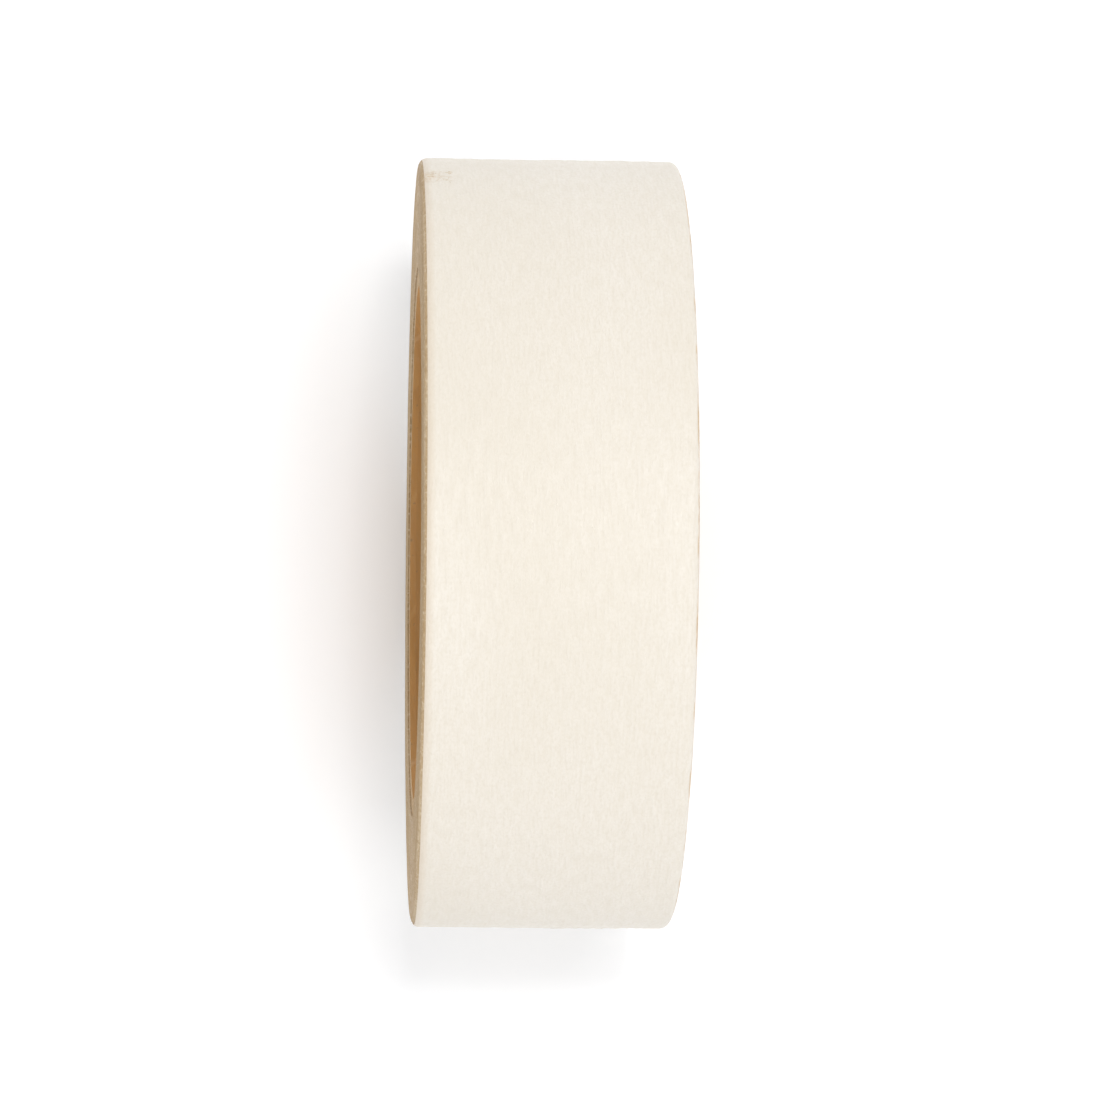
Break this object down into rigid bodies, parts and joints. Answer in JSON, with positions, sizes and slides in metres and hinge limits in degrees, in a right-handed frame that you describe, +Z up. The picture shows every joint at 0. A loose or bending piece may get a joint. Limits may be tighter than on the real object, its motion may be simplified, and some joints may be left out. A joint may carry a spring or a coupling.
{
  "type": "masking tape roll",
  "caption": "Roll of cream crepe-paper masking tape on a paperboard core, standing on its rim, with a free end that peels off.",
  "frame": {"origin": "on the surface that the roll stands on, midway along the flat under the core's axis", "axes": "+X along the core's axis, +Z up; the free end is low on the -Y side"},
  "size_m": [0.038, 0.1139, 0.1135],
  "materials": {
    "crepe_paper": "saturated crepe paper with a satin release coat",
    "wound_edges": "slit edges of wound tape and its adhesive",
    "core_liner": "calendered kraft paper",
    "core_paperboard": "raw cut paperboard"
  },
  "bodies": {
    "roll": {"core_liner_ply": "core_liner", "core_body_ply_1": "core_paperboard", "core_body_ply_2": "core_paperboard", "core_outer_ply": "core_paperboard", "wound_tape": "wound_edges", "outer_turn": "crepe_paper"},
    "end_1": {"free_end_1": "crepe_paper"},
    "end_2": {"free_end_2": "crepe_paper"},
    "end_3": {"free_end_3": "crepe_paper"},
    "end_4": {"free_end_4": "crepe_paper"},
    "end_5": {"free_end_5": "crepe_paper"},
    "end_6": {"free_end_6": "crepe_paper"}
  },
  "joints": [
    {"name": "end_peel", "type": "hinge", "parent": "roll", "child": "end_1", "pos_m": [0, -0.05681, 0.05158], "axis": [-1, 0, 0], "range_deg": [0, 100]},
    {"name": "end_curl_2", "type": "hinge", "parent": "end_1", "child": "end_2", "pos_m": [0, -0.05568, 0.04421], "axis": [-1, 0, 0], "range_deg": [0, 16]},
    {"name": "end_curl_3", "type": "hinge", "parent": "end_2", "child": "end_3", "pos_m": [0, -0.0536, 0.03704], "axis": [-1, 0, 0], "range_deg": [0, 16]},
    {"name": "end_curl_4", "type": "hinge", "parent": "end_3", "child": "end_4", "pos_m": [0, -0.0506, 0.03021], "axis": [-1, 0, 0], "range_deg": [0, 16]},
    {"name": "end_curl_5", "type": "hinge", "parent": "end_4", "child": "end_5", "pos_m": [0, -0.04673, 0.02383], "axis": [-1, 0, 0], "range_deg": [0, 16]},
    {"name": "end_curl_6", "type": "hinge", "parent": "end_5", "child": "end_6", "pos_m": [0, -0.04206, 0.01801], "axis": [-1, 0, 0], "range_deg": [0, 16]}
  ],
  "couplings": [
    {"joint": "end_curl_3", "follows": "end_curl_2", "ratio": 1},
    {"joint": "end_curl_4", "follows": "end_curl_2", "ratio": 1},
    {"joint": "end_curl_5", "follows": "end_curl_2", "ratio": 1},
    {"joint": "end_curl_6", "follows": "end_curl_2", "ratio": 1}
  ]
}
